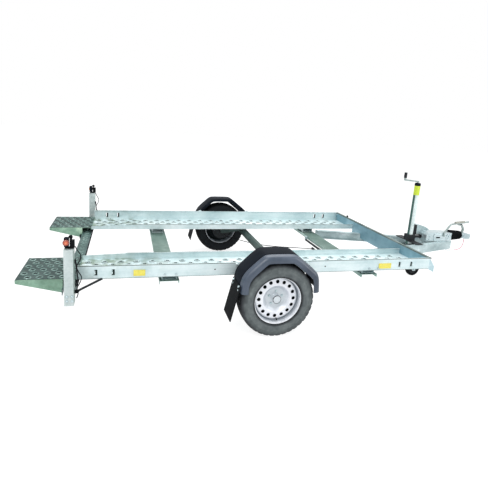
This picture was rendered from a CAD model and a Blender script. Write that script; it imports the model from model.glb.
import math

import bmesh
import bpy
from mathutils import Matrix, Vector


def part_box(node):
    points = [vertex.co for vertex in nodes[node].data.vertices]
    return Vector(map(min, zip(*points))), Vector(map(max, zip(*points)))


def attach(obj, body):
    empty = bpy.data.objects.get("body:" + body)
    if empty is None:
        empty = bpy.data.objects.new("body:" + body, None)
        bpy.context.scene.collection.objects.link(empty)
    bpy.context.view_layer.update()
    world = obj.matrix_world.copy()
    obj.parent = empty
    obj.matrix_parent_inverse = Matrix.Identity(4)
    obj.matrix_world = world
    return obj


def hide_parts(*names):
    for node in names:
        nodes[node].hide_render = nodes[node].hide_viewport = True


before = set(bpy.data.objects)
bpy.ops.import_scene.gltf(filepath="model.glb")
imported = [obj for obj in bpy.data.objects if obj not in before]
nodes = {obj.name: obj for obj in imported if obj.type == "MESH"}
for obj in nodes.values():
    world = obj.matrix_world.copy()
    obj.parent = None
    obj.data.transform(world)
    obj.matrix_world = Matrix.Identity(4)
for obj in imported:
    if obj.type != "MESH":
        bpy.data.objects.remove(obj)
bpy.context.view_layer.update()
scene = bpy.context.scene
scene.view_settings.view_transform = "Standard"

tyreLow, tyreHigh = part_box("tyre_right")
wheelX = (tyreLow.x + tyreHigh.x) / 2
wheelZ = (tyreLow.z + tyreHigh.z) / 2
wheelY = 1.04  # middle of a wheel, out from the centre line
wheelAxis = Vector((wheelX, 0, wheelZ))
sides = (("left", 1), ("right", -1))
quarter = math.pi / 2
print("frame loaded, wheel line at", round(wheelX, 3), round(wheelZ, 3))


def at(x, y, z):  # x runs forward from the wheel line
    return Vector((x + wheelX, y, z))


def dress(piece, node=None, body="trailer"):  # a piece may take the place of a frame node
    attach(piece, body)
    if node:
        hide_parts(node)


# the camera stands low, off the right rear corner
cameraSettings = {"place": (-1.604, -3.888, 1.665), "yaw": 0.257, "pitch": -0.207, "roll": 0.067,
                  "lens": 30.43, "sensor": 36, "shiftX": 0.0246, "shiftY": -0.082}


def makeCamera(settings):
    yaw, pitch, roll = settings["yaw"], settings["pitch"], settings["roll"]
    ahead = Vector((math.sin(yaw) * math.cos(pitch), math.cos(yaw) * math.cos(pitch), math.sin(pitch)))
    level = Vector((math.cos(yaw), -math.sin(yaw), 0))
    upright = level.cross(ahead)
    right = level * math.cos(roll) + upright * math.sin(roll)
    up = upright * math.cos(roll) - level * math.sin(roll)
    data = bpy.data.cameras.new("camera")
    data.lens = settings["lens"]
    data.sensor_width = settings["sensor"]
    data.shift_x = settings["shiftX"]
    data.shift_y = settings["shiftY"]
    camera = bpy.data.objects.new("camera", data)
    scene.collection.objects.link(camera)
    matrix = camera.matrix_world.copy()
    for column, values in enumerate((right, up, -ahead, settings["place"])):
        matrix.col[column][:3] = values
    camera.matrix_world = matrix
    scene.camera = camera


makeCamera(cameraSettings)


# helpers for node trees: a socket is linked, any other value is set
def feed(tree, socket, value):
    if isinstance(value, bpy.types.NodeSocket):
        tree.links.new(value, socket)
    else:
        socket.default_value = value


def addNode(tree, kind, values=None, **options):
    node = tree.nodes.new(kind)
    for key, value in options.items():
        setattr(node, key, value)
    for socket, value in (values or {}).items():
        feed(tree, node.inputs[socket], value)
    return node


def newMaterial(name):
    material = bpy.data.materials.new(name)
    material.use_nodes = True
    tree = material.node_tree
    return material, tree, tree.nodes["Principled BSDF"]


def setShader(tree, shader, values):
    for socket, value in values.items():
        feed(tree, shader.inputs[socket], value)


def objectPoints(tree, scale=(1, 1, 1), shift=(0, 0, 0)):
    coordinates = addNode(tree, "ShaderNodeTexCoord")
    return addNode(tree, "ShaderNodeMapping", {"Vector": coordinates.outputs["Object"], "Scale": scale,
                                               "Location": shift}).outputs["Vector"]


def split(tree, vector):
    return addNode(tree, "ShaderNodeSeparateXYZ", {"Vector": vector}).outputs


def sums(tree, operation, *values):
    return addNode(tree, "ShaderNodeMath", dict(enumerate(values)), operation=operation).outputs[0]


def noise(tree, vector, scale, detail, roughness=0.55):
    return addNode(tree, "ShaderNodeTexNoise", {"Vector": vector, "Scale": scale, "Detail": detail,
                                                "Roughness": roughness}).outputs["Fac"]


def ramp(tree, factor, stops, steps="LINEAR"):
    node = addNode(tree, "ShaderNodeValToRGB", {"Fac": factor})
    node.color_ramp.interpolation = steps
    elements = node.color_ramp.elements
    while len(elements) < len(stops):
        elements.new(0.5)
    for element, (place, colour) in zip(elements, stops):
        element.position = place
        element.color = (*colour, 1)
    return node.outputs["Color"]


def levels(tree, factor, low, high, fromLow=0.3, fromHigh=0.7):
    return addNode(tree, "ShaderNodeMapRange", {"Value": factor, "From Min": fromLow, "From Max": fromHigh,
                                                "To Min": low, "To Max": high}).outputs["Result"]


def blendColours(tree, factor, first, second, mode="MIX"):
    node = addNode(tree, "ShaderNodeMix", data_type="RGBA", blend_type=mode)
    for index, value in ((0, factor), (6, first), (7, second)):  # the mix node's colour sockets
        feed(tree, node.inputs[index], (*value, 1) if isinstance(value, tuple) else value)
    return node.outputs[2]


def tinted(tree, share, colour, tint):
    return blendColours(tree, share, colour, blendColours(tree, 1.0, colour, tint, "MULTIPLY"))


def bumpFrom(tree, shader, height, strength, distance):
    bump = addNode(tree, "ShaderNodeBump", {"Height": height, "Strength": strength, "Distance": distance})
    feed(tree, shader.inputs["Normal"], bump.outputs["Normal"])


def radialShare(tree, centre, low, high):  # distance from a line along Y
    points = objectPoints(tree, (1, 0, 1), (-centre.x, 0, -centre.z))
    length = addNode(tree, "ShaderNodeVectorMath", {0: points}, operation="LENGTH")
    return levels(tree, length.outputs["Value"], 0.0, 1.0, low, high)


def facing(tree, axis, low, high):  # share by the way a face points, in the part's own axes
    normal = addNode(tree, "ShaderNodeNewGeometry").outputs["Normal"]
    return levels(tree, split(tree, normal)[axis], 0.0, 1.0, low, high)


# galvanised metal: clouds, spangle and streaks, darker or lighter by the way a face points
deckZinc = {"colour": (0.66, 0.76, 0.77), "dark": (0.48, 0.6, 0.62), "light": (0.8, 0.86, 0.87),
            "stain": (0.74, 0.82, 0.82), "spangle": 70, "cloud": 2.4, "flakeShare": 0.1, "stainShare": 0.5,
            "streakStretch": (2.5, 2.5, 22), "streaks": 1.6, "smooth": 0.34, "rough": 0.55, "metal": 0.4,
            "gloss": 0.5, "bumpStrength": 0.12, "bumpDepth": 0.0006}
rearDirt = {"start": -1.0, "end": -1.75, "tint": (0.36, 0.4, 0.31), "patches": 13, "patchLow": 0.44,
            "patchHigh": 0.6, "faceLow": -0.2, "faceHigh": 0.8}  # worn dull towards the tail, along X


def makeGalvanised(name, settings):
    material, tree, shader = newMaterial(name)
    points = objectPoints(tree)
    spangle = addNode(tree, "ShaderNodeTexVoronoi", {"Vector": points, "Scale": settings["spangle"],
                                                     "Randomness": 1.0})
    flake = addNode(tree, "ShaderNodeRGBToBW", {"Color": spangle.outputs["Color"]}).outputs["Val"]
    cloud = noise(tree, points, settings["cloud"], 5)
    streaks = noise(tree, objectPoints(tree, settings["streakStretch"]), settings["streaks"], 6)
    shades = [(0.3, settings["dark"]), (0.55, settings["colour"]), (0.75, settings["light"])]
    base = ramp(tree, cloud, shades)
    flaked = blendColours(tree, settings["flakeShare"], base, flake, "OVERLAY")
    worn = ramp(tree, streaks, [(0.35, settings["stain"]), (0.62, (1, 1, 1))])
    colour = blendColours(tree, settings["stainShare"], flaked, worn, "MULTIPLY")
    if "sideTint" in settings:
        axis, low, high, tint = settings["sideTint"]
        colour = tinted(tree, facing(tree, axis, low, high), colour, tint)
    if "dirt" in settings:
        dirt = settings["dirt"]
        place = levels(tree, split(tree, points)["X"], 0.0, 1.0, dirt["start"], dirt["end"])
        patches = levels(tree, noise(tree, points, dirt["patches"], 6), 0.0, 1.0,
                         dirt["patchLow"], dirt["patchHigh"])
        upward = facing(tree, "Z", dirt["faceLow"], dirt["faceHigh"])
        share = sums(tree, "MULTIPLY", sums(tree, "MULTIPLY", place, patches), upward)
        colour = tinted(tree, share, colour, dirt["tint"])
    roughness = levels(tree, flake, settings["smooth"], settings["rough"], 0.1, 0.9)
    setShader(tree, shader, {"Base Color": colour, "Roughness": roughness, "Metallic": settings["metal"],
                             "Specular IOR Level": settings["gloss"]})
    bumpFrom(tree, shader, spangle.outputs["Distance"], settings["bumpStrength"], settings["bumpDepth"])
    return material


dullZinc = dict(deckZinc, metal=0.15, gloss=0.15)
platedZinc = dict(deckZinc, colour=(0.52, 0.6, 0.62), dark=(0.36, 0.44, 0.46), light=(0.7, 0.76, 0.77),
                  spangle=240, flakeShare=0.05, smooth=0.26, rough=0.4, metal=0.7)
galvanised = makeGalvanised("galvanisedSheet", dict(deckZinc, dirt=rearDirt))
treadPlate = makeGalvanised("dullTreadPlate", dict(
    dullZinc, colour=(0.04, 0.07, 0.065), dark=(0.023, 0.043, 0.039), light=(0.08, 0.12, 0.112),
    gloss=0.12, sideTint=("Z", 0.8, 0.2, (6.6, 5.9, 4.8)), cloud=7))
studSteel = makeGalvanised("treadStuds", dict(
    deckZinc, colour=(0.15, 0.23, 0.21), dark=(0.09, 0.15, 0.135), light=(0.28, 0.37, 0.34), cloud=16))
lampBarSteel = makeGalvanised("dullLampBar", dict(
    dullZinc, colour=(0.075, 0.125, 0.118), dark=(0.048, 0.085, 0.08), light=(0.135, 0.19, 0.18), cloud=6))
memberSteel = makeGalvanised("dullMembers", dict(
    dullZinc, colour=(0.155, 0.225, 0.195), dark=(0.09, 0.145, 0.125), light=(0.27, 0.345, 0.31), cloud=5,
    sideTint=("Z", 0.8, 0.2, (2.6, 2.4, 2.5))))
panelSteel = makeGalvanised("galvanisedPanel", dict(
    deckZinc, colour=(0.5, 0.63, 0.66), dark=(0.36, 0.5, 0.54), cloud=5,
    sideTint=("X", 0.2, -0.6, (0.44, 0.6, 0.68))))
tubeSteel = makeGalvanised("galvanisedTube", dict(
    deckZinc, colour=(0.7, 0.77, 0.76), dark=(0.58, 0.66, 0.65), cloud=6, gloss=0.3,
    sideTint=("X", -0.7, -0.84, (0.09, 0.17, 0.15))))
galvanisedPost = makeGalvanised("galvanisedPost", dict(
    deckZinc, colour=(0.54, 0.6, 0.59), dark=(0.44, 0.5, 0.49), light=(0.66, 0.71, 0.7), cloud=7,
    sideTint=("X", 0.2, 0.8, (0.55, 0.62, 0.58))))
galvanisedBar = makeGalvanised("galvanisedBar", dict(
    deckZinc, colour=(0.43, 0.52, 0.53), dark=(0.27, 0.35, 0.36), cloud=6, spangle=110))
axleSteel = makeGalvanised("dullAxle", dict(
    dullZinc, colour=(0.065, 0.092, 0.084), dark=(0.035, 0.052, 0.048), light=(0.12, 0.155, 0.145), cloud=5,
    metal=0.1))
edgeSteel = makeGalvanised("cutSheetEdges", dict(
    dullZinc, colour=(0.15, 0.19, 0.18), dark=(0.09, 0.12, 0.115), light=(0.24, 0.28, 0.27), cloud=9))
collarSteel = makeGalvanised("pressedCollars", dict(
    deckZinc, colour=(0.56, 0.67, 0.68), cloud=9, metal=0.3, dirt=rearDirt,
    sideTint=("Z", 0.93, 0.55, (0.1, 0.13, 0.12))))
plated = makeGalvanised("zincPlatedSteel", platedZinc)
handleSteel = makeGalvanised("wornHandles", dict(
    platedZinc, colour=(0.34, 0.4, 0.39), dark=(0.2, 0.25, 0.24), light=(0.5, 0.55, 0.54), cloud=18))


# paints, plastics and rubber
blackPaint = {"colour": (0.022, 0.025, 0.027), "dark": (0.012, 0.014, 0.016), "cloud": 14, "grain": 180,
              "smooth": 0.36, "rough": 0.58, "metal": 0.0, "coat": 0.0, "bump": 0.15, "bumpDepth": 0.0008,
              "gloss": 0.15}
wheelPaint = dict(blackPaint, colour=(0.84, 0.85, 0.88), dark=(0.7, 0.72, 0.76), cloud=9, grain=300,
                  smooth=0.3, rough=0.45, metal=0.3, coat=0.15, bump=0.05, gloss=0.5, ringReach=0.2,
                  rings=[(0.0, (0.72, 0.76, 0.76)), (0.4, (0.66, 0.7, 0.71)), (0.5, (0.8, 0.82, 0.84)),
                         (0.6, (1.0, 1.0, 1.0)), (0.82, (1.0, 1.0, 1.0)), (0.86, (0.42, 0.45, 0.47)),
                         (0.895, (0.38, 0.41, 0.43)), (0.915, (1.0, 1.0, 1.0))])
fenderPlastic = dict(blackPaint, colour=(0.012, 0.015, 0.02), dark=(0.006, 0.008, 0.012), cloud=5, grain=420,
                     smooth=0.42, rough=0.6, bump=0.25, gloss=0.02)
rubber = dict(blackPaint, colour=(0.011, 0.012, 0.013), dark=(0.006, 0.007, 0.008), cloud=12, grain=260,
              smooth=0.55, rough=0.8, bump=0.3, gloss=0.03)


def makePaint(name, settings):
    material, tree, shader = newMaterial(name)
    points = objectPoints(tree)
    cloud = noise(tree, points, settings["cloud"], 5)
    grain = noise(tree, points, settings["grain"], 3)
    colour = ramp(tree, cloud, [(0.35, settings["dark"]), (0.65, settings["colour"])])
    if "rings" in settings:  # shades by distance from the wheel's centre
        share = radialShare(tree, wheelAxis, 0.0, settings["ringReach"])
        colour = blendColours(tree, 1.0, colour, ramp(tree, share, settings["rings"]), "MULTIPLY")
    setShader(tree, shader, {"Base Color": colour, "Metallic": settings["metal"],
                             "Roughness": levels(tree, cloud, settings["smooth"], settings["rough"]),
                             "Coat Weight": settings["coat"], "Specular IOR Level": settings["gloss"]})
    bumpFrom(tree, shader, grain, settings["bump"], settings["bumpDepth"])
    return material


silver = makePaint("silverWheelPaint", wheelPaint)
blackSteel = makePaint("blackPaint", blackPaint)
blackPlastic = makePaint("fenderPlastic", fenderPlastic)
greyPlastic = makePaint("rolledLipPlastic", dict(
    fenderPlastic, colour=(0.062, 0.082, 0.115), dark=(0.03, 0.043, 0.066), smooth=0.22, rough=0.4, gloss=0.5))
blackRubber = makePaint("blackRubber", rubber)
bandPlastic = makePaint("tubeBand", dict(fenderPlastic, colour=(0.62, 0.74, 0.09), dark=(0.52, 0.63, 0.07)))
gripPlastic = makePaint("gripPlastic", dict(rubber, colour=(0.05, 0.05, 0.055), smooth=0.35, rough=0.5))
cableSleeve = makePaint("blackSleeve", dict(rubber, colour=(0.04, 0.04, 0.045), grain=500))
redSleeve = makePaint("redSleeve", dict(rubber, colour=(0.52, 0.05, 0.13), dark=(0.4, 0.03, 0.09),
                                        smooth=0.35, rough=0.5))
studShade = makePaint("collarShade", dict(rubber, colour=(0.035, 0.05, 0.046), dark=(0.02, 0.03, 0.028),
                                          bump=0.05))
leverPlastic = makePaint("leverGripPlastic", dict(rubber, colour=(0.36, 0.36, 0.32), dark=(0.24, 0.24, 0.21)))
holeDark = makePaint("holeShade", dict(rubber, colour=(0.02, 0.026, 0.028), dark=(0.012, 0.016, 0.018),
                                       bump=0.05))
print("metals and plastics made")

tyreSkin = {"dust": 14, "grain": 330, "reach": (0.19, 0.302), "clean": (0.09, 0.095, 0.11),
            "cleanReach": (0.97, 1.08), "dusty": [(0.35, (0.58, 0.59, 0.61)), (0.68, (1.1, 1.1, 1.1))],
            "smooth": 0.62, "rough": 0.86, "gloss": 0.15, "bump": 0.35, "bumpDepth": 0.0007,
            "zones": [(0.0, (0.02, 0.022, 0.024)), (0.08, (0.045, 0.05, 0.052)), (0.18, (0.135, 0.15, 0.15)),
                      (0.5, (0.15, 0.168, 0.166)), (0.72, (0.105, 0.118, 0.118)),
                      (0.84, (0.06, 0.066, 0.07)), (1.0, (0.026, 0.028, 0.031))]}


def makeTyreRubber(settings):
    material, tree, shader = newMaterial("tyreRubber")
    points = objectPoints(tree)
    dust = noise(tree, points, settings["dust"], 6, 0.6)
    grain = noise(tree, points, settings["grain"], 3)
    zones = ramp(tree, radialShare(tree, wheelAxis, *settings["reach"]), settings["zones"])
    dusted = blendColours(tree, 1.0, zones, ramp(tree, dust, settings["dusty"]), "MULTIPLY")
    clean = blendColours(tree, 1.0, dusted, settings["clean"], "MULTIPLY")  # the side that faces the deck
    outside = sums(tree, "ABSOLUTE", split(tree, points)["Y"])
    outward = levels(tree, outside, 0.0, 1.0, *settings["cleanReach"])
    setShader(tree, shader, {"Base Color": blendColours(tree, outward, clean, dusted),
                             "Roughness": levels(tree, dust, settings["smooth"], settings["rough"]),
                             "Specular IOR Level": settings["gloss"]})
    bumpFrom(tree, shader, grain, settings["bump"], settings["bumpDepth"])
    return material


tyreRubber = makeTyreRubber(tyreSkin)

# lenses in bands of colour from foot to top, with a fine pattern of cells
lampLow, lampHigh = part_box("tail_lamps")
red, amber, clear = (0.55, 0.02, 0.02), (0.85, 0.28, 0.03), (0.75, 0.76, 0.76)
lensSkin = {"low": lampLow.z, "high": lampHigh.z, "steps": "CONSTANT", "cells": 130, "grain": 90,
            "grainShare": 0.6, "coat": 0.5, "depth": 0.05, "bands": [(0.0, red), (0.3, clear), (0.42, red),
                                                                     (0.72, amber)]}
reflectorSkin = dict(lensSkin, low=0.44, high=0.51, steps="LINEAR", cells=210, bands=[
    (0.0, (0.76, 0.62, 0.05)), (0.5, (0.84, 0.72, 0.1)), (1.0, (0.78, 0.65, 0.07))])


def lensCells(tree, points, scale):
    return addNode(tree, "ShaderNodeTexVoronoi", {"Vector": points, "Scale": scale,
                                                  "Randomness": 0.0}).outputs["Distance"]


def makeLens(name, settings):
    material, tree, shader = newMaterial(name)
    points = objectPoints(tree)
    share = levels(tree, split(tree, points)["Z"], 0.0, 1.0, settings["low"], settings["high"])
    bands = ramp(tree, share, settings["bands"], settings["steps"])
    grain = noise(tree, points, settings["grain"], 2)
    shade = ramp(tree, grain, [(0.3, (0.72, 0.72, 0.72)), (0.7, (1, 1, 1))])
    shaded = blendColours(tree, settings["grainShare"], bands, shade, "MULTIPLY")
    setShader(tree, shader, {"Base Color": shaded,
                             "Roughness": levels(tree, grain, 0.1, 0.22), "Coat Weight": settings["coat"],
                             "Subsurface Weight": settings["depth"]})
    bumpFrom(tree, shader, lensCells(tree, points, settings["cells"]), 0.5, 0.002)
    return material


tailLens = makeLens("tailLens", lensSkin)
yellowLens = makeLens("yellowReflector", reflectorSkin)
markerLow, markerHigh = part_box("marker_lamps")
markerSkin = {"reach": 0.026, "cells": 240, "coat": 0.4, "rings": [
    (0.0, (0.8, 0.3, 0.14)), (0.3, (0.62, 0.12, 0.05)), (0.62, (0.3, 0.04, 0.02)),
    (1.0, (0.1, 0.02, 0.015))]}


def makeMarkerGlow(settings):
    material, tree, shader = newMaterial("markerLens")
    share = radialShare(tree, (markerLow + markerHigh) / 2, 0.0, settings["reach"])
    cells = lensCells(tree, objectPoints(tree), settings["cells"])
    setShader(tree, shader, {"Base Color": ramp(tree, share, settings["rings"]),
                             "Roughness": levels(tree, cells, 0.12, 0.3, 0.0, 0.7),
                             "Coat Weight": settings["coat"]})
    bumpFrom(tree, shader, cells, 0.4, 0.001)
    return material


markerGlow = makeMarkerGlow(markerSkin)
print("lenses made")


# mesh helpers; every mesh is built in place
def meshObject(name, verts, faces, material, smoothAngle=40):
    mesh = bpy.data.meshes.new(name)
    mesh.from_pydata([tuple(v) for v in verts], [], faces)
    return finishMesh(name, mesh, material, smoothAngle)


def finishMesh(name, mesh, material, smoothAngle=40):
    shape = bmesh.new()
    shape.from_mesh(mesh)
    bmesh.ops.remove_doubles(shape, verts=shape.verts, dist=1e-6)
    bmesh.ops.recalc_face_normals(shape, faces=shape.faces)
    shape.to_mesh(mesh)
    shape.free()
    mesh.materials.clear()
    mesh.materials.append(material)
    for polygon in mesh.polygons:
        polygon.use_smooth = True
        polygon.material_index = 0
    mesh.set_sharp_from_angle(angle=math.radians(smoothAngle))
    piece = bpy.data.objects.new(name, mesh)
    scene.collection.objects.link(piece)
    return piece


def shapePiece(name, shape, material, smoothAngle=40):
    mesh = bpy.data.meshes.new(name)
    shape.to_mesh(mesh)
    shape.free()
    return finishMesh(name, mesh, material, smoothAngle)


def bridge(faces, a, b, count, closed=True):  # a band of faces between two rows of points
    for k in range(count if closed else count - 1):
        m = (k + 1) % count
        faces.append((a + k, a + m, b + m, b + k))


def ringPoint(axis, centre, along, radius, angle):
    c, s = radius * math.cos(angle), radius * math.sin(angle)
    offset = {"X": (along, c, s), "Y": (c, along, s), "Z": (c, s, along)}[axis]
    return centre + Vector(offset)


def turnedParts(outline, centre, axis, steps, closed=True):
    verts, faces = [], []
    count = len(outline)
    for i in range(steps):
        angle = 2 * math.pi * i / steps
        verts += [ringPoint(axis, centre, along, radius, angle) for along, radius in outline]
        bridge(faces, i * count, (i + 1) % steps * count, count, closed)
    return verts, faces


def turned(name, outline, centre, axis, steps, material, closed=True, smoothAngle=40):
    verts, faces = turnedParts(outline, centre, axis, steps, closed)
    return meshObject(name, verts, faces, material, smoothAngle)


def bothWays(half):  # an outline mirrored about its first point
    return [(-along, radius) for along, radius in half[:0:-1]] + half


def addBlock(shape, first, second, bevel=0.0, segments=2):
    made = bmesh.ops.create_cube(shape, size=1)["verts"]
    for v in made:
        for k in range(3):
            v.co[k] = min(first[k], second[k]) if v.co[k] < 0 else max(first[k], second[k])
    if bevel:
        edges = list({e for v in made for e in v.link_edges})
        bmesh.ops.bevel(shape, geom=edges, offset=bevel, segments=segments, affect="EDGES", profile=0.5)


def blockPiece(name, blocks, bevel, material):
    shape = bmesh.new()
    for first, second in blocks:
        addBlock(shape, first, second, bevel)
    return shapePiece(name, shape, material)


def roundLine(name, lines, radius, rings, smoothLine, resolution):
    data = bpy.data.curves.new(name, "CURVE")
    data.dimensions = "3D"
    data.bevel_depth = radius
    data.bevel_resolution = rings
    data.use_fill_caps = True
    for line in lines:
        spline = data.splines.new("NURBS" if smoothLine else "POLY")
        spline.points.add(len(line) - 1)
        for point, place in zip(spline.points, line):
            point.co = (*place, 1)
        if smoothLine:
            spline.order_u = 3
            spline.use_endpoint_u = True
            spline.resolution_u = resolution
    return data


def evaluatedMesh(holder):
    bpy.context.view_layer.update()
    return bpy.data.meshes.new_from_object(holder.evaluated_get(bpy.context.evaluated_depsgraph_get()))


def tubePiece(name, lines, radius, material, rings=3, smoothLine=False):
    holder = bpy.data.objects.new(name + "Line", roundLine(name, lines, radius, rings, smoothLine, 8))
    scene.collection.objects.link(holder)
    mesh = evaluatedMesh(holder)
    bpy.data.objects.remove(holder)
    return finishMesh(name, mesh, material, 50)


# one tree spreads a small shape over rows and columns of points
spreadSockets = {"Geometry": "Geometry", "Count A": "Int", "Step A": "Vector", "Count B": "Int",
                 "Step B": "Vector", "Stagger": "Float", "Origin": "Vector", "Turn": "Vector",
                 "Material": "Material"}
spreadDefaults = {"Count A": 1, "Step A": (1, 0, 0), "Count B": 1, "Step B": (0, 1, 0), "Stagger": 0.0,
                  "Origin": (0, 0, 0), "Turn": (0, 0, 0)}


def makeSpreadTree(sockets):
    tree = bpy.data.node_groups.new("spreadInRows", "GeometryNodeTree")
    face = tree.interface
    inputs = {label: face.new_socket(label, in_out="INPUT", socket_type="NodeSocket" + kind).identifier
              for label, kind in sockets.items()}
    face.new_socket("Geometry", in_out="OUTPUT", socket_type="NodeSocketGeometry")
    group = tree.nodes.new("NodeGroupInput").outputs

    def scaled(vector, factor):
        inputs = {0: vector, "Scale": factor}
        return addNode(tree, "ShaderNodeVectorMath", inputs, operation="SCALE").outputs[0]

    def added(first, second):
        return addNode(tree, "ShaderNodeVectorMath", {0: first, 1: second}, operation="ADD").outputs[0]

    index = tree.nodes.new("GeometryNodeInputIndex").outputs[0]
    row = sums(tree, "FLOORED_MODULO", index, group["Count B"])
    nudged = sums(tree, "ADD", index, 0.01)  # keeps whole numbers on the right side of the floor
    column = sums(tree, "FLOOR", sums(tree, "DIVIDE", nudged, group["Count B"]))
    shift = sums(tree, "MULTIPLY", sums(tree, "FLOORED_MODULO", row, 2.0), group["Stagger"])
    place = added(scaled(group["Step A"], sums(tree, "ADD", column, shift)), scaled(group["Step B"], row))
    points = addNode(tree, "GeometryNodePoints", {
        "Count": sums(tree, "MULTIPLY", group["Count A"], group["Count B"]),
        "Position": added(place, group["Origin"])})
    turn = addNode(tree, "FunctionNodeEulerToRotation", {0: group["Turn"]})
    copies = addNode(tree, "GeometryNodeInstanceOnPoints", {
        "Points": points.outputs[0], "Instance": group["Geometry"], "Rotation": turn.outputs[0]})
    real = addNode(tree, "GeometryNodeRealizeInstances", {0: copies.outputs[0]})
    finish = addNode(tree, "GeometryNodeSetMaterial", {"Geometry": real.outputs[0],
                                                       "Material": group["Material"]})
    addNode(tree, "NodeGroupOutput", {0: finish.outputs[0]})
    return tree, inputs


spreadTree, spreadInputs = makeSpreadTree(spreadSockets)


def spread(mesh, pattern, material):
    holder = bpy.data.objects.new("holder", mesh)
    scene.collection.objects.link(holder)
    modifier = holder.modifiers.new("spread", "NODES")
    modifier.node_group = spreadTree
    for label, value in dict(spreadDefaults, Material=material, **pattern).items():
        modifier[spreadInputs[label]] = value
    made = evaluatedMesh(holder)
    holder.modifiers.remove(modifier)
    bpy.data.objects.remove(holder)
    return made


def spreadPiece(name, mesh, patterns, material):
    shape = bmesh.new()
    for pattern in patterns:
        shape.from_mesh(spread(mesh, pattern, material))
    return shapePiece(name, shape, material, 35)


def turnTo(way, sign=1):  # the turn that points a small shape out from its side, back, ahead or up
    return {"out": (-sign * quarter, 0, 0), "back": (0, -quarter, 0), "ahead": (0, quarter, 0),
            "up": (0, 0, 0)}[way]


# small shapes that are repeated, as outlines of height and radius
smallShapes = {
    "collar": ([(0.0, 0.0275), (0.005, 0.0236), (0.0068, 0.0205), (0.005, 0.0146)], 12),
    "collarWall": ([(0.0048, 0.0148), (0.0, 0.0136), (-0.013, 0.0128)], 12),
    "stud": ([(0.0, 0.0265), (0.005, 0.0225), (0.0052, 0.0195), (0.0012, 0.015)], 14),
    "studHole": ([(0.0014, 0.0154), (0.001, 0.0)], 12),
    "bolt": ([(0.0, 0.0115), (0.002, 0.0115), (0.002, 0.0086), (0.0078, 0.0086), (0.0088, 0.0074),
              (0.0088, 0.0)], 6),
    "pinHole": ([(0.0005, 0.006), (0.0005, 0.0)], 12),
}


def plainMesh(name, verts, faces):
    mesh = bpy.data.meshes.new(name)
    mesh.from_pydata([tuple(v) for v in verts], [], faces)
    return mesh


small = {name: plainMesh(name, *turnedParts(outline, Vector(), "Z", steps, False))
         for name, (outline, steps) in smallShapes.items()}
print("helpers ready")

# breakaway cable, the one free cord, from the coupling head back to its hook
breakaway = {"radius": 0.003, "length": 0.286, "hookRadius": 0.0035,
             "points": [(2.734, -0.012, 0.444), (2.732, -0.018, 0.38), (2.686, -0.036, 0.334),
                        (2.61, -0.058, 0.316), (2.525, -0.072, 0.322)],
             "hook": [(0.006, 0.001, 0), (-0.012, -0.001, -0.004), (-0.04, 0.004, -0.006),
                      (-0.06, 0.014, -0.002), (-0.058, 0.022, 0.01), (-0.04, 0.026, 0.012),
                      (-0.02, 0.022, 0.01)]}


def makeBreakaway(settings):
    places = [at(*point) for point in settings["points"]]
    data = roundLine("breakawayCord", [places], settings["radius"], 3, True, 10)
    data.materials.append(redSleeve)
    cord = bpy.data.objects.new("breakawayCord", data)
    scene.collection.objects.link(cord)
    bend = [places[-1] + Vector(offset) for offset in settings["hook"]]
    hook = tubePiece("breakawayHook", [bend], settings["hookRadius"], plated, 3, True)
    dress(cord, "breakaway_cable")
    dress(hook)


makeBreakaway(breakaway)
print("breakaway cable hung")

# tyres: half an outline from the middle out, with grooves, and blocks cut back in turn round the tread
tyreSettings = {
    "steps": 144, "every": 4, "depth": 0.005, "treadFloor": 0.28, "shoulder": (0.056, 0.092),
    "rib": (0.02, 0.0455), "ribFloor": 0.299, "half": [
        (0.0, 0.302), (0.01, 0.3019), (0.0112, 0.294), (0.0185, 0.2938), (0.02, 0.3016), (0.031, 0.3011),
        (0.045, 0.3003), (0.0462, 0.2922), (0.054, 0.2918), (0.0555, 0.2996), (0.066, 0.2984),
        (0.078, 0.2952), (0.085, 0.2906), (0.09, 0.283), (0.0925, 0.279), (0.0945, 0.27),
        (0.0972, 0.256), (0.0955, 0.2546), (0.0974, 0.252), (0.0972, 0.234), (0.0955, 0.215),
        (0.0925, 0.208), (0.0936, 0.204), (0.0908, 0.196), (0.0868, 0.1915), (0.0835, 0.1885),
        (0.078, 0.1888), (0.07, 0.2)]}


def makeTyre(side, sign, settings):
    centre = Vector((wheelX, sign * wheelY, wheelZ))
    outline = bothWays(settings["half"])
    steps, every, count = settings["steps"], settings["every"], len(outline)
    shoulderLow, shoulderHigh = settings["shoulder"]
    ribLow, ribHigh = settings["rib"]
    verts, faces = turnedParts(outline, centre, "Y", steps)
    for i in range(steps):
        for k, (along, radius) in enumerate(outline):
            shoulder = shoulderLow < abs(along) < shoulderHigh and radius > settings["treadFloor"]
            rib = ribLow < abs(along) < ribHigh and radius > settings["ribFloor"]
            if (i % every == 0 and shoulder) or ((i + 2) % every == 0 and rib):
                verts[i * count + k] = ringPoint("Y", centre, along, radius - settings["depth"],
                                                 2 * math.pi * i / steps)
    dress(meshObject("tyre" + side, verts, faces, tyreRubber, 28), "tyre_" + side, "wheel_" + side)


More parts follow.
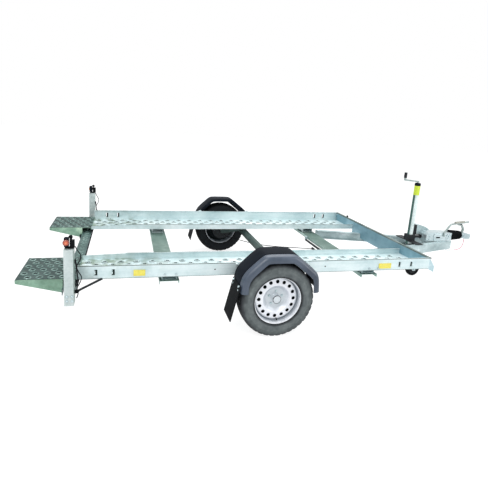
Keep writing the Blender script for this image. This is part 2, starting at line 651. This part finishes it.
# rims: a flanged well, a pressed disc with round holes, a cap, bolts and a valve
rimSettings = {
    "steps": 96, "sheet": 0.004, "holes": 16, "holeCircle": 0.143, "holeRadius": 0.0148, "holeRim": 0.0035,
    "holeSink": 0.0018, "bolts": 5, "boltCircle": 0.056, "boltTurn": 0.3, "boltSeat": 0.0165,
    "well": [(0.0838, 0.1905), (0.0846, 0.188), (0.0825, 0.185), (0.078, 0.1838), (0.07, 0.183),
             (0.056, 0.18), (0.042, 0.1783), (0.03, 0.1775), (-0.06, 0.1775), (-0.076, 0.182),
             (-0.0846, 0.187), (-0.0838, 0.1905), (-0.074, 0.189), (-0.066, 0.1855), (-0.03, 0.1825),
             (0.03, 0.1825), (0.066, 0.1855), (0.074, 0.189)],
    "disc": [(0.000, 0.0165), (0.06, 0.0165), (0.082, 0.017), (0.092, 0.024), (0.102, 0.035),
             (0.11, 0.0425), (0.118, 0.044), (0.128, 0.0415), (0.16, 0.038), (0.172, 0.035),
             (0.1775, 0.03)],  # radius, and height out from the wheel's middle plane
    "innerRadii": [0.034, 0.045, 0.06, 0.072, 0.082, 0.087, 0.092, 0.097, 0.102, 0.106, 0.11, 0.114, 0.118,
                   0.122],
    "outerRadii": [0.162, 0.166, 0.17, 0.174, 0.1777],
    "sideRadii": [0.135, 0.15],
    "arc": [-1, -0.667, -0.333, 0, 0.333, 0.667, 1],
    "shade": [(0.004, 0.1775), (0.004, 0.1), (0.001, 0.1), (0.001, 0.1775)],
    "cap": [(0.012, 0.0365), (0.02, 0.0365), (0.022, 0.0345), (0.052, 0.0335), (0.058, 0.03),
            (0.0605, 0.022), (0.0615, 0.0)],
    "valve": [(0.012, 0.036, -0.163), (0.013, 0.06, -0.17)], "valveRadius": 0.0035,
}


def discHeight(stops, radius):
    for (r0, h0), (r1, h1) in zip(stops, stops[1:]):
        if radius <= r1:
            return h0 + (h1 - h0) * (radius - r0) / (r1 - r0)
    return stops[-1][1]


def makeRim(side, sign, settings):
    centre = Vector((wheelX, sign * wheelY, wheelZ))
    disc, sheet = settings["disc"], settings["sheet"]
    verts, faces = [], []

    def addRing(outline):
        made, loops = turnedParts([(sign * a, r) for a, r in outline], centre, "Y", settings["steps"])
        first = len(verts)
        verts.extend(made)
        faces.extend(tuple(first + n for n in loop) for loop in loops)

    addRing(settings["well"])
    for radii in (settings["innerRadii"], settings["outerRadii"]):
        front = [(discHeight(disc, r), r) for r in radii]
        addRing(front + [(a - sheet, r) for a, r in front[::-1]])
    half = math.pi / settings["holes"]
    inner, outer = settings["innerRadii"][-1], settings["outerRadii"][0]
    for h in range(settings["holes"]):  # each hole sits in its own share of the disc, front and back
        middle = 2 * math.pi * h / settings["holes"]
        border = [(inner, middle + half * t) for t in settings["arc"]]
        border += [(r, middle + half) for r in settings["sideRadii"]]
        border += [(outer, middle + half * t) for t in settings["arc"][::-1]]
        border += [(r, middle - half) for r in settings["sideRadii"][::-1]]
        cx, cz = settings["holeCircle"] * math.cos(middle), settings["holeCircle"] * math.sin(middle)
        first, count = len(verts), len(border)
        for depth in (0.0, sheet):
            for ring in range(3):
                for radius, angle in border:
                    x, z = radius * math.cos(angle), radius * math.sin(angle)
                    if ring:
                        turn = math.atan2(z - cz, x - cx)
                        reach = settings["holeRadius"] + (settings["holeRim"] if ring == 1 else 0)
                        x, z = cx + reach * math.cos(turn), cz + reach * math.sin(turn)
                    sink = settings["holeSink"] if ring == 2 and depth == 0 else 0
                    rise = discHeight(disc, math.hypot(x, z)) - depth - sink
                    verts.append(centre + Vector((x, sign * rise, z)))
        for a, b in ((0, 1), (1, 2), (3, 4), (4, 5), (2, 5)):
            bridge(faces, first + a * count, first + b * count, count)
    body = "wheel_" + side
    dress(meshObject("rim" + side, verts, faces, silver, 32), "rim_" + side, body)
    shade = [(sign * a, r) for a, r in settings["shade"]]
    dress(turned("wheelShade" + side, shade, centre, "Y", 64, holeDark), body=body)
    cap = [(sign * a, r) for a, r in settings["cap"]]
    dress(turned("hubCap" + side, cap, centre, "Y", 40, silver, False), body=body)
    bolts = []
    for i in range(settings["bolts"]):
        place = ringPoint("Y", centre, sign * settings["boltSeat"], settings["boltCircle"],
                          2 * math.pi * i / settings["bolts"] + settings["boltTurn"])
        bolts.append({"Origin": place, "Turn": turnTo("out", sign)})
    dress(spreadPiece("wheelBolts" + side, small["bolt"], bolts, plated), body=body)
    stem = [centre + Vector((x, sign * y, z)) for x, y, z in settings["valve"]]
    dress(tubePiece("valve" + side, [stem], settings["valveRadius"], blackRubber), body=body)


for side, sign in sides:
    makeTyre(side, sign, tyreSettings)
    makeRim(side, sign, rimSettings)
print("wheels made")

# deck: pressed collars round the holes, studs on the wedges and the lamp bar
deckSettings = {
    "holes": {"Count A": 23, "Step A": (0.127, 0, 0), "Count B": 5, "Step B": (0, 0.06325, 0), "Stagger": 0.5,
              "Origin": (-1.4355, 0.547, 0.437)},
    "wedgeStuds": {"Count A": 5, "Step A": (0.078, 0, 0), "Count B": 6, "Step B": (0, 0.074, 0),
                   "Stagger": 0.5, "Origin": (-1.858, 0.5, 0.453)},
    "barStuds": {"Count B": 11, "Step B": (0, 0.08, 0), "Origin": (-1.536, 0.045, 0.395)},
}


def onSide(pattern, sign):  # a pattern laid out on the left, placed on its side
    x, y, z = pattern["Origin"]
    step = pattern["Step B"]
    return dict(pattern, **{"Origin": at(x, sign * y, z), "Step B": (0, sign * step[1], step[2])})


def makeDeck(settings):
    for side, sign in sides:
        holes, wedge, bar = (onSide(settings[name], sign) for name in ("holes", "wedgeStuds", "barStuds"))
        dress(spreadPiece("trackCollars" + side, small["collar"], [holes], collarSteel))
        dress(spreadPiece("trackCollarWalls" + side, small["collarWall"], [holes], studShade))
        dress(spreadPiece("wedgeStuds" + side, small["stud"], [wedge, bar], studSteel))
        dress(spreadPiece("wedgeStudHoles" + side, small["studHole"], [wedge], holeDark))


makeDeck(deckSettings)

# bolts on the chassis: place on the left side, the way they point, how many and the step between them
fastenerSettings = {
    "bolts": [
        ((-0.85, 0.887, 0.452), "out", 1, (0, 0, 0)), ((-0.765, 0.887, 0.452), "out", 1, (0, 0, 0)),
        ((0.92, 0.887, 0.452), "out", 1, (0, 0, 0)), ((1.005, 0.887, 0.452), "out", 1, (0, 0, 0)),
        ((-1.535, 1.05, 0.34), "out", 2, (0.034, 0, 0)), ((-1.535, 1.05, 0.375), "out", 2, (0.034, 0, 0)),
        ((0.193, 0.887, 0.447), "out", 2, (0.05, 0, 0)), ((1.528, 0.862, 0.462), "back", 2, (0, 0, 0.05)),
        ((1.532, 0.7, 0.452), "ahead", 2, (0, 0, 0.055)), ((2.06, 0.105, 0.432), "up", 2, (0, 0.05, 0)),
        ((-0.275, 0.903, 0.535), "up", 1, (0, 0, 0)), ((0.304, 0.903, 0.535), "up", 1, (0, 0, 0)),
        ((2.7, 0.0355, 0.478), "out", 1, (0, 0, 0)), ((-0.3195, 0.96, 0.4), "back", 2, (0, 0.15, 0)),
        ((-0.3195, 0.96, 0.428), "back", 2, (0, 0.15, 0))],
    "pinHoles": [(-0.46, 0.887, 0.484), (0.493, 0.887, 0.484)],
}


def makeFasteners(settings):
    bolts, pins = [], []
    for side, sign in sides:
        for (x, y, z), way, count, (stepX, stepY, stepZ) in settings["bolts"]:
            bolts.append({"Count A": count, "Step A": (stepX, sign * stepY, stepZ),
                          "Origin": at(x, sign * y, z), "Turn": turnTo(way, sign)})
        pins += [{"Origin": at(x, sign * y, z), "Turn": turnTo("out", sign)}
                 for x, y, z in settings["pinHoles"]]
    dress(spreadPiece("chassisBolts", small["bolt"], bolts, plated))
    dress(spreadPiece("wallPinHoles", small["pinHole"], pins, holeDark))


makeFasteners(fastenerSettings)

# dull cut edges along the walls and the front panel
edgeSettings = {"width": 0.0035, "proud": 0.0008, "rear": -1.486, "front": 1.526, "taperEnd": -1.14,
                "innerRise": 0.052, "topDepth": 0.0055, "footDepth": 0.002, "innerDepth": 0.004,
                "panelFace": (1.5273, 1.532), "panelTop": (1.531, 1.552)}


def makeEdges(settings):
    low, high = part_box("track_left")
    width, proud = settings["width"], settings["proud"]
    rear, front = settings["rear"], settings["front"]
    innerTop = low.z + settings["innerRise"]
    blocks = []
    for side, sign in sides:
        outer, inner = sign * (high.y + proud), sign * (low.y - proud)
        blocks.append((at(rear, outer, high.z - width),
                       at(front, outer - sign * settings["topDepth"], high.z + proud)))
        blocks.append((at(rear, outer, low.z),
                       at(front, outer - sign * settings["footDepth"], low.z + width)))
        blocks.append((at(settings["taperEnd"], inner, innerTop - width),
                       at(front, inner + sign * settings["innerDepth"], innerTop + proud)))
    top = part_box("front_panel")[1].z
    for (x0, x1), depth in ((settings["panelFace"], 3 * width), (settings["panelTop"], width)):
        blocks.append((at(x0, -high.y, top - depth), at(x1, high.y, top + proud)))
    dress(blockPiece("cutEdges", blocks, 0.0, edgeSteel))


makeEdges(edgeSettings)

# lashing bars behind the near slots, and the black rail behind the front member
lashSettings = {
    "slots": (-1.354, -1.231, 1.219, 1.339), "wallY": 0.887, "middleZ": 0.484, "barY": (0.8825, 0.8745),
    "bars": [(-0.004, 0.0105, 0.463, 0.508), (-0.0105, 0.0105, 0.459, 0.466)], "bevel": 0.002,
    "edge": [(0.0145, 0.027, 0.0), (0.01276, 0.02538, -0.0028), (0.0102, 0.0227, -0.0018),
             (0.0102, 0.0227, 0.0035)],  # half width, half height and depth of each ring
    "rail": [(0.871, 0.334, 0.372), (0.871, 0.334, 0.343), (0.871, 0.322, 0.338)], "railRadius": 0.0125,
}


def slotEdgeMesh(rings):  # a pressed rim round a slot, facing -Y
    verts, faces = [], []
    for halfX, halfZ, y in rings:
        verts += [(-halfX, y, -halfZ), (halfX, y, -halfZ), (halfX, y, halfZ), (-halfX, y, halfZ)]
    for ring in range(len(rings) - 1):
        bridge(faces, ring * 4, ring * 4 + 4, 4)
    return plainMesh("slotEdge", verts, faces)


def makeLashing(settings):
    bars, edges = [], []
    first, second = settings["barY"]
    for side, sign in sides:
        for x in settings["slots"]:
            bars += [(at(x + x0, sign * first, z0), at(x + x1, sign * second, z1))
                     for x0, x1, z0, z1 in settings["bars"]]
            edges.append({"Origin": at(x, sign * settings["wallY"], settings["middleZ"]),
                          "Turn": (0, 0, 0 if sign < 0 else math.pi)})
    near = [at(x, -y, z) for x, y, z in settings["rail"]]
    far = [at(x, y, z) for x, y, z in settings["rail"][::-1]]
    dress(blockPiece("lashingBars", bars, settings["bevel"], studShade))
    dress(spreadPiece("lashSlotEdges", slotEdgeMesh(settings["edge"]), edges, galvanised))
    dress(tubePiece("cableRail", [near + far], settings["railRadius"], blackSteel))


makeLashing(lashSettings)
print("deck and fasteners made")

# rear corner: stays with their knobs, plate lamps, and the knob on the front panel
rearSettings = {
    "stay": [(-1.478, 0.985, 0.385), (-1.312, 0.883, 0.434)], "stayRadius": 0.0085,
    "knobRadius": 0.016, "knobShape": (1.15, 1, 0.85),
    "plateLamp": [(-1.6, 0.375, 0.357), (-1.581, 0.425, 0.392)], "plateLampBevel": 0.005,
    "panelKnob": [(0.0, 0.008), (0.006, 0.008), (0.01, 0.012), (0.018, 0.0125), (0.023, 0.009), (0.0245, 0.0)],
    "panelKnobPlace": (1.54, 0.62, 0.535),
}


def makeRear(settings):
    stays = [[at(x, sign * y, z) for x, y, z in settings["stay"]] for side, sign in sides]
    dress(tubePiece("stayRods", stays, settings["stayRadius"], blackSteel))
    shape = bmesh.new()
    for foot, top in stays:
        made = bmesh.ops.create_uvsphere(shape, u_segments=16, v_segments=10, radius=settings["knobRadius"])
        for v in made["verts"]:
            v.co = Vector(a * b for a, b in zip(v.co, settings["knobShape"])) + foot
    dress(shapePiece("stayKnobs", shape, blackRubber))
    lamps = [[at(x, sign * y, z) for x, y, z in settings["plateLamp"]] for side, sign in sides]
    dress(blockPiece("plateLamps", lamps, settings["plateLampBevel"], blackPlastic))
    dress(turned("panelKnob", settings["panelKnob"], at(*settings["panelKnobPlace"]), "Z", 20, blackRubber,
                 False))


makeRear(rearSettings)

# leads down the front of the lamp posts, held by two clips each
postLead = {"radius": 0.0036, "clipped": (4, 8), "clipBack": 0.006, "clipAhead": 0.005,
            "clipHalf": (0.007, 0.004), "clipBevel": 0.0015, "points": [
                (-1.484, 0.974, 0.716), (-1.472, 0.972, 0.684), (-1.446, 0.966, 0.65), (-1.456, 0.962, 0.606),
                (-1.482, 0.962, 0.565), (-1.468, 0.956, 0.52), (-1.444, 0.95, 0.48), (-1.458, 0.95, 0.435),
                (-1.482, 0.954, 0.395), (-1.466, 0.952, 0.355), (-1.482, 0.958, 0.322)]}


def makePostLeads(settings):
    halfY, halfZ = settings["clipHalf"]
    lines, clips = [], []
    for side, sign in sides:
        lines.append([at(x, sign * y, z) for x, y, z in settings["points"]])
        for x, y, z in (settings["points"][k] for k in settings["clipped"]):
            clips.append((at(x - settings["clipBack"], sign * (y - halfY), z - halfZ),
                          at(x + settings["clipAhead"], sign * (y + halfY), z + halfZ)))
    dress(tubePiece("postLeads", lines, settings["radius"], cableSleeve, 3, True))
    dress(blockPiece("postLeadClips", clips, settings["clipBevel"], plated))


makePostLeads(postLead)

# marker lamps: a rounded housing with a domed lens outward and a small one to the rear
markerSettings = {
    "rearGap": 0.008, "frontGap": 0.006, "across": (0.001, 0.043), "bevel": 0.007, "lensInset": 0.002,
    "lens": [(0.0, 0.0225), (0.004, 0.0222), (0.008, 0.019), (0.011, 0.011), (0.012, 0.0)],
    "rearInset": 0.022, "rearLens": [(0.001, 0.0115), (-0.003, 0.011), (-0.005, 0.008), (-0.006, 0.0)]}


def makeMarkerLamps(settings):
    shape = bmesh.new()
    outer, inner = settings["across"]
    rear = markerLow.x + settings["rearGap"]
    for side, sign in sides:
        addBlock(shape, (rear, sign * (markerHigh.y - outer), markerLow.z),
                 (markerHigh.x - settings["frontGap"], sign * (markerHigh.y - inner), markerHigh.z),
                 settings["bevel"], 3)
    dress(shapePiece("markerHousings", shape, blackPlastic, 50), "marker_lamps")
    middle = (markerLow + markerHigh) / 2
    for side, sign in sides:
        name = side.capitalize()
        centre = Vector((middle.x, sign * (markerHigh.y - settings["lensInset"]), middle.z))
        dress(turned("markerLens" + name, [(sign * a, r) for a, r in settings["lens"]], centre, "Y", 28,
                     markerGlow, False, 60))
        centre = Vector((rear, sign * (markerHigh.y - settings["rearInset"]), middle.z))
        dress(turned("markerRearLens" + name, settings["rearLens"], centre, "X", 24, tailLens, False, 60))


makeMarkerLamps(markerSettings)

# fenders: a bent shell with a rolled outer lip, as sections of y and depth swept along a side view
fenderSettings = {
    "line": [(-0.3131, 0.376), (-0.3131, 0.44), (-0.3001, 0.498), (-0.2661, 0.552), (-0.151, 0.66),
             (-0.111, 0.678), (0.1007, 0.678), (0.142, 0.66), (0.313, 0.524), (0.332, 0.474), (0.341, 0.372)],
    "corner": 0.35, "cornerSteps": 4, "middleZ": 0.45,
    "shell": [(0.9205, 0.03), (0.9205, 0.006), (0.9225, 0.0015), (0.9275, 0.0002), (1.01, 0.0002),
              (1.082, 0.0002), (1.0885, 0.0015), (1.0925, 0.0055), (1.0965, 0.0065), (1.096, 0.0103),
              (1.09, 0.009), (1.086, 0.005), (1.081, 0.0036), (1.01, 0.0036), (0.93, 0.0036),
              (0.9262, 0.0048), (0.9242, 0.0075), (0.9242, 0.03)],
    "lip": [(1.096, 0.0066), (1.0995, 0.003), (1.104, 0.0016), (1.109, 0.0022), (1.1125, 0.0052),
            (1.1165, 0.006), (1.124, 0.007), (1.133, 0.0105), (1.141, 0.017), (1.147, 0.026),
            (1.1493, 0.036), (1.149, 0.046), (1.1475, 0.053), (1.147, 0.0565), (1.1485, 0.059),
            (1.1485, 0.0615), (1.145, 0.062), (1.143, 0.059), (1.144, 0.048), (1.1455, 0.038),
            (1.1435, 0.0285), (1.1385, 0.0205), (1.13, 0.0145), (1.119, 0.011), (1.108, 0.0098),
            (1.101, 0.01), (1.096, 0.0103)],
}


def roundedLine(points, share, steps):
    places = [Vector((x, 0, z)) for x, z in points]
    line = [places[0]]
    for before, corner, after in zip(places, places[1:], places[2:]):
        start, end = corner.lerp(before, share), corner.lerp(after, share)
        for i in range(steps + 1):
            t = i / steps
            line.append(start.lerp(corner, t).lerp(corner.lerp(end, t), t))
    line.append(places[-1])
    return line


def sweptAlong(name, line, section, sign, middleZ, material):
    verts, faces = [], []
    middle = Vector((0, 0, middleZ))
    count, last = len(section), len(line) - 1
    for i, place in enumerate(line):
        ahead = (line[min(i + 1, last)] - line[max(i - 1, 0)]).normalized()
        inward = Vector((-ahead.z, 0, ahead.x))
        if inward.dot(middle - place) < 0:
            inward = -inward
        for y, depth in section:
            spot = place + inward * depth
            verts.append(at(spot.x, sign * y, spot.z))
    for i in range(last):
        bridge(faces, i * count, (i + 1) * count, count)
    faces.append(tuple(range(count)))
    faces.append(tuple(range(last * count, (last + 1) * count)))
    return meshObject(name, verts, faces, material)


def makeFenders(settings):
    line = roundedLine(settings["line"], settings["corner"], settings["cornerSteps"])
    for side, sign in sides:
        shell, lip = (sweptAlong(name + side, line, settings[part], sign, settings["middleZ"], material)
                      for name, part, material in (("fenderShell", "shell", blackPlastic),
                                                   ("fenderLip", "lip", greyPlastic)))
        dress(shell, "fender_" + side)
        dress(lip)


makeFenders(fenderSettings)
print("rear corner and fenders dressed")

# bellows behind the coupling head, in folds that narrow to the front
bellowsSettings = {"folds": 8, "crestRear": 0.061, "crestFront": 0.05, "depth": 0.0105, "bore": 0.026,
                   "endGap": 0.0005, "cuff": (0.01, 0.012), "cuffDrop": (0.005, 0.004), "firstFold": 0.016}


def makeBellows(settings):
    low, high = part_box("gaiter")
    centre = Vector((0, 0, (low.z + high.z) / 2))
    rear, front, gap = settings["crestRear"], settings["crestFront"], settings["endGap"]
    (cuff, cuffEnd), (rearDrop, frontDrop) = settings["cuff"], settings["cuffDrop"]
    outline = [(low.x + gap, settings["bore"]), (low.x + gap, rear), (low.x + cuff, rear),
               (low.x + cuffEnd, rear - rearDrop)]
    start, end, quarters = low.x + settings["firstFold"], high.x - cuffEnd, 4 * settings["folds"]
    for i in range(quarters + 1):
        drop = settings["depth"] * (0.5 - 0.5 * math.cos(2 * math.pi * i / 4))
        outline.append((start + (end - start) * i / quarters, rear + (front - rear) * i / quarters - drop))
    outline += [(high.x - cuff, front - frontDrop), (high.x - gap, front - frontDrop),
                (high.x - gap, settings["bore"])]
    dress(turned("bellows", outline, centre, "X", 48, blackRubber, True, 60), "gaiter")


makeBellows(bellowsSettings)

# grips as tubes; caps, rings and knobs as outlines of height and radius turned about an axis
handleSettings = {
    "grips": [("leverGrip", [(2.52, -0.065, 0.648), (2.642, -0.065, 0.66)], 0.0125, leverPlastic),
              ("handleGrip", [(2.634, 0, 0.612), (2.676, 0, 0.606)], 0.0135, gripPlastic)],
    "turned": [
        ("tubeCap", [(0.0, 0.0315), (0.02, 0.032), (0.027, 0.03), (0.031, 0.02), (0.032, 0.0)],
         (1.99, 0, 1.0565), "Z", 32, blackPlastic, "black_rubber", False),
        ("tubeBand", [(0.0, 0.0302), (0.0, 0.0306), (0.105, 0.0306), (0.105, 0.0302)],
         (1.99, 0, 0.952), "Z", 40, bandPlastic, "black_rubber", True),
        ("tubeFootRing", [(0.0, 0.0302), (0.0, 0.0335), (0.016, 0.0335), (0.016, 0.0302)],
         (1.99, 0, 0.364), "Z", 32, galvanisedBar, "galvanised", True),
        ("crankGrip", [(0.0, 0.009), (0.001, 0.015), (0.03, 0.016), (0.055, 0.015), (0.0615, 0.0148),
                       (0.0617, 0.0)], (1.818, 0, 1.1382), "Z", 24, gripPlastic, "black_rubber", False),
        ("clampKnob", [(0.0, 0.012), (0.006, 0.02), (0.02, 0.021), (0.027, 0.017), (0.03, 0.0)],
         (2.116, 0, 0.47), "X", 18, blackRubber, "black_rubber", False)],
}


def makeHandles(settings):
    for name, line, radius, material in settings["grips"]:
        dress(tubePiece(name, [[at(*point) for point in line]], radius, material, 4))
    for name, outline, place, axis, steps, material, slot, closed in settings["turned"]:
        dress(turned(name, outline, at(*place), axis, steps, material, closed))


makeHandles(handleSettings)

# overrun housing: pressed ribs, straps, bolts and a slot on each side
bodyTrim = {"rear": 2.184, "front": 2.496, "side": 0.058, "sunk": 0.001, "proud": 0.004, "slotProud": 0.0006,
            "ribs": (0.434, 0.504), "ribHeight": 0.008, "straps": (2.262, 2.436), "strapWidth": 0.014,
            "top": 0.518, "slot": (2.3, 2.352, 0.462, 0.478), "bevel": 0.0018, "bolts": (2.212, 2.472),
            "boltRows": (0.456, 0.486)}


def makeBodyTrim(settings):
    side, foot = settings["side"], settings["ribs"][0]
    ribs, slots, bolts = [], [], []
    for name, sign in sides:
        inner, outer = sign * (side - settings["sunk"]), sign * (side + settings["proud"])
        for z in settings["ribs"]:
            ribs.append((at(settings["rear"], inner, z),
                         at(settings["front"], outer, z + settings["ribHeight"])))
        for x in settings["straps"]:
            ribs.append((at(x, inner, foot), at(x + settings["strapWidth"], outer, settings["top"])))
        x0, x1, z0, z1 = settings["slot"]
        slots.append((at(x0, inner, z0), at(x1, sign * (side + settings["slotProud"]), z1)))
        bolts += [{"Origin": at(x, sign * side, z), "Turn": turnTo("out", sign)}
                  for x in settings["bolts"] for z in settings["boltRows"]]
    dress(blockPiece("housingRibs", ribs, settings["bevel"], plated))
    dress(blockPiece("housingSlots", slots, 0.0, holeDark))
    dress(spreadPiece("housingBolts", small["bolt"], bolts, plated))


makeBodyTrim(bodyTrim)

# jockey wheel: a tyred roller with a pressed hub, as half outlines from the middle out
rollerSettings = {
    "tread": [(0.0, 0.08), (0.01, 0.0797), (0.018, 0.0782), (0.0225, 0.075), (0.0245, 0.07),
              (0.024, 0.06), (0.022, 0.055), (0.017, 0.053)],
    "disc": [(0.0, 0.056), (0.014, 0.0555), (0.0165, 0.053), (0.01, 0.048), (0.006, 0.04),
             (0.008, 0.024), (0.02, 0.019), (0.024, 0.017), (0.0245, 0.0086)],
    "forkSide": 0.036,
}


def makeRoller(settings):
    low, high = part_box("jockey_wheel")
    centre = Vector(((low.x + high.x) / 2, 0, (low.z + high.z) / 2))
    dress(turned("rollerTyre", bothWays(settings["tread"]), centre, "Y", 56, blackRubber, True, 50),
          "jockey_wheel", "jockey_roller")
    dress(turned("rollerHub", bothWays(settings["disc"]), centre, "Y", 40, blackSteel),
          body="jockey_roller")
    bolts = [{"Origin": centre + Vector((0, sign * settings["forkSide"], 0)), "Turn": turnTo("out", sign)}
             for side, sign in sides]
    dress(spreadPiece("rollerPinBolts", small["bolt"], bolts, plated), body="jockey_yoke")


makeRoller(rollerSettings)
print("drawbar dressed")

# finishes of the frame's own nodes
finishes = {
    galvanised: ["track_left", "track_right", "deck_brackets", "axle_seats"],
    galvanisedBar: ["drawbar_arms", "wheel_chock"],
    memberSteel: ["rear_cross_member", "front_cross_member"],
    axleSteel: ["axle_tube", "swing_arms"],
    panelSteel: ["front_panel"],
    tubeSteel: ["jockey_outer_tube"],
    galvanisedPost: ["lamp_posts"],
    treadPlate: ["tail_wedge_left", "tail_wedge_right"],
    lampBarSteel: ["lamp_bar"],
    plated: ["overrun_body", "draw_tube", "coupling_head", "jockey_inner_tube", "jockey_fork"],
    handleSteel: ["coupling_handle", "handbrake_lever", "jockey_crank"],
    blackSteel: ["brake_backplates", "hub_left", "hub_right", "jockey_clamp", "chock_holder"],
    blackRubber: ["mud_flaps", "marker_feet"],
    cableSleeve: ["brake_cables", "lamp_lead"],
    tailLens: ["tail_lamps"],
    yellowLens: ["side_reflectors"],
}
for material, names in finishes.items():
    for name in names:
        data = nodes[name].data
        data.materials.clear()
        data.materials.append(material)
        for polygon in data.polygons:
            polygon.material_index = 0
print("frame finished")

# studio: a plain floor, a soft sky and three large lamps
studioSettings = {
    "floorSize": 60, "floorColour": (0.8, 0.81, 0.82), "seenColour": (0.3, 0.3, 0.3), "seenGlow": 0.86,
    "skyColour": (0.93, 0.97, 1.0), "skyStrength": 0.62,
    "lamps": [("keyLight", (-3.5, -4.5, 5.5), (0, 0, 0.4), 4.0, 270),
              ("fillLight", (4.5, -3.0, 3.0), (0.5, 0, 0.5), 4.0, 130),
              ("topLight", (0.5, 1.5, 5.5), (0, 0, 0.3), 5.0, 240)],  # place, aim, size and power
}


def seenMix(tree, output, lit, seen):  # camera, glossy and transmission rays see the white background
    path = tree.nodes.new("ShaderNodeLightPath").outputs
    share = path["Is Camera Ray"]
    for name in ("Is Glossy Ray", "Is Transmission Ray"):
        share = sums(tree, "MAXIMUM", share, path[name])
    mix = addNode(tree, "ShaderNodeMixShader", {0: share, 1: lit, 2: seen})
    addNode(tree, output, {"Surface": mix.outputs[0]})


def makeStudio(settings):
    half = settings["floorSize"] / 2
    corners = [(-half, -half, 0), (half, -half, 0), (half, half, 0), (-half, half, 0)]
    floorMesh = plainMesh("studioFloor", corners, [(0, 1, 2, 3)])
    floor = bpy.data.objects.new("studioFloor", floorMesh)
    scene.collection.objects.link(floor)
    material, tree, shader = newMaterial("studioFloor")
    tree.nodes.clear()
    plain = addNode(tree, "ShaderNodeBsdfDiffuse", {"Color": (*settings["floorColour"], 1)})
    soft = addNode(tree, "ShaderNodeBsdfDiffuse", {"Color": (*settings["seenColour"], 1)})
    glow = addNode(tree, "ShaderNodeEmission", {"Color": (1, 1, 1, 1), "Strength": settings["seenGlow"]})
    both = addNode(tree, "ShaderNodeAddShader", {0: soft.outputs[0], 1: glow.outputs[0]})
    seenMix(tree, "ShaderNodeOutputMaterial", plain.outputs[0], both.outputs[0])
    floorMesh.materials.append(material)

    world = bpy.data.worlds.new("studio")
    scene.world = world
    world.use_nodes = True
    tree = world.node_tree
    tree.nodes.clear()
    sky = addNode(tree, "ShaderNodeBackground", {"Color": (*settings["skyColour"], 1),
                                                 "Strength": settings["skyStrength"]})
    white = addNode(tree, "ShaderNodeBackground", {"Color": (1, 1, 1, 1), "Strength": 1.0})
    seenMix(tree, "ShaderNodeOutputWorld", sky.outputs[0], white.outputs[0])

    for name, place, aim, size, power in settings["lamps"]:
        data = bpy.data.lights.new(name, "AREA")
        data.size = size
        data.energy = power
        light = bpy.data.objects.new(name, data)
        scene.collection.objects.link(light)
        light.location = place
        light.rotation_euler = (Vector(aim) - Vector(place)).to_track_quat("-Z", "Y").to_euler()


makeStudio(studioSettings)
print("studio lit")
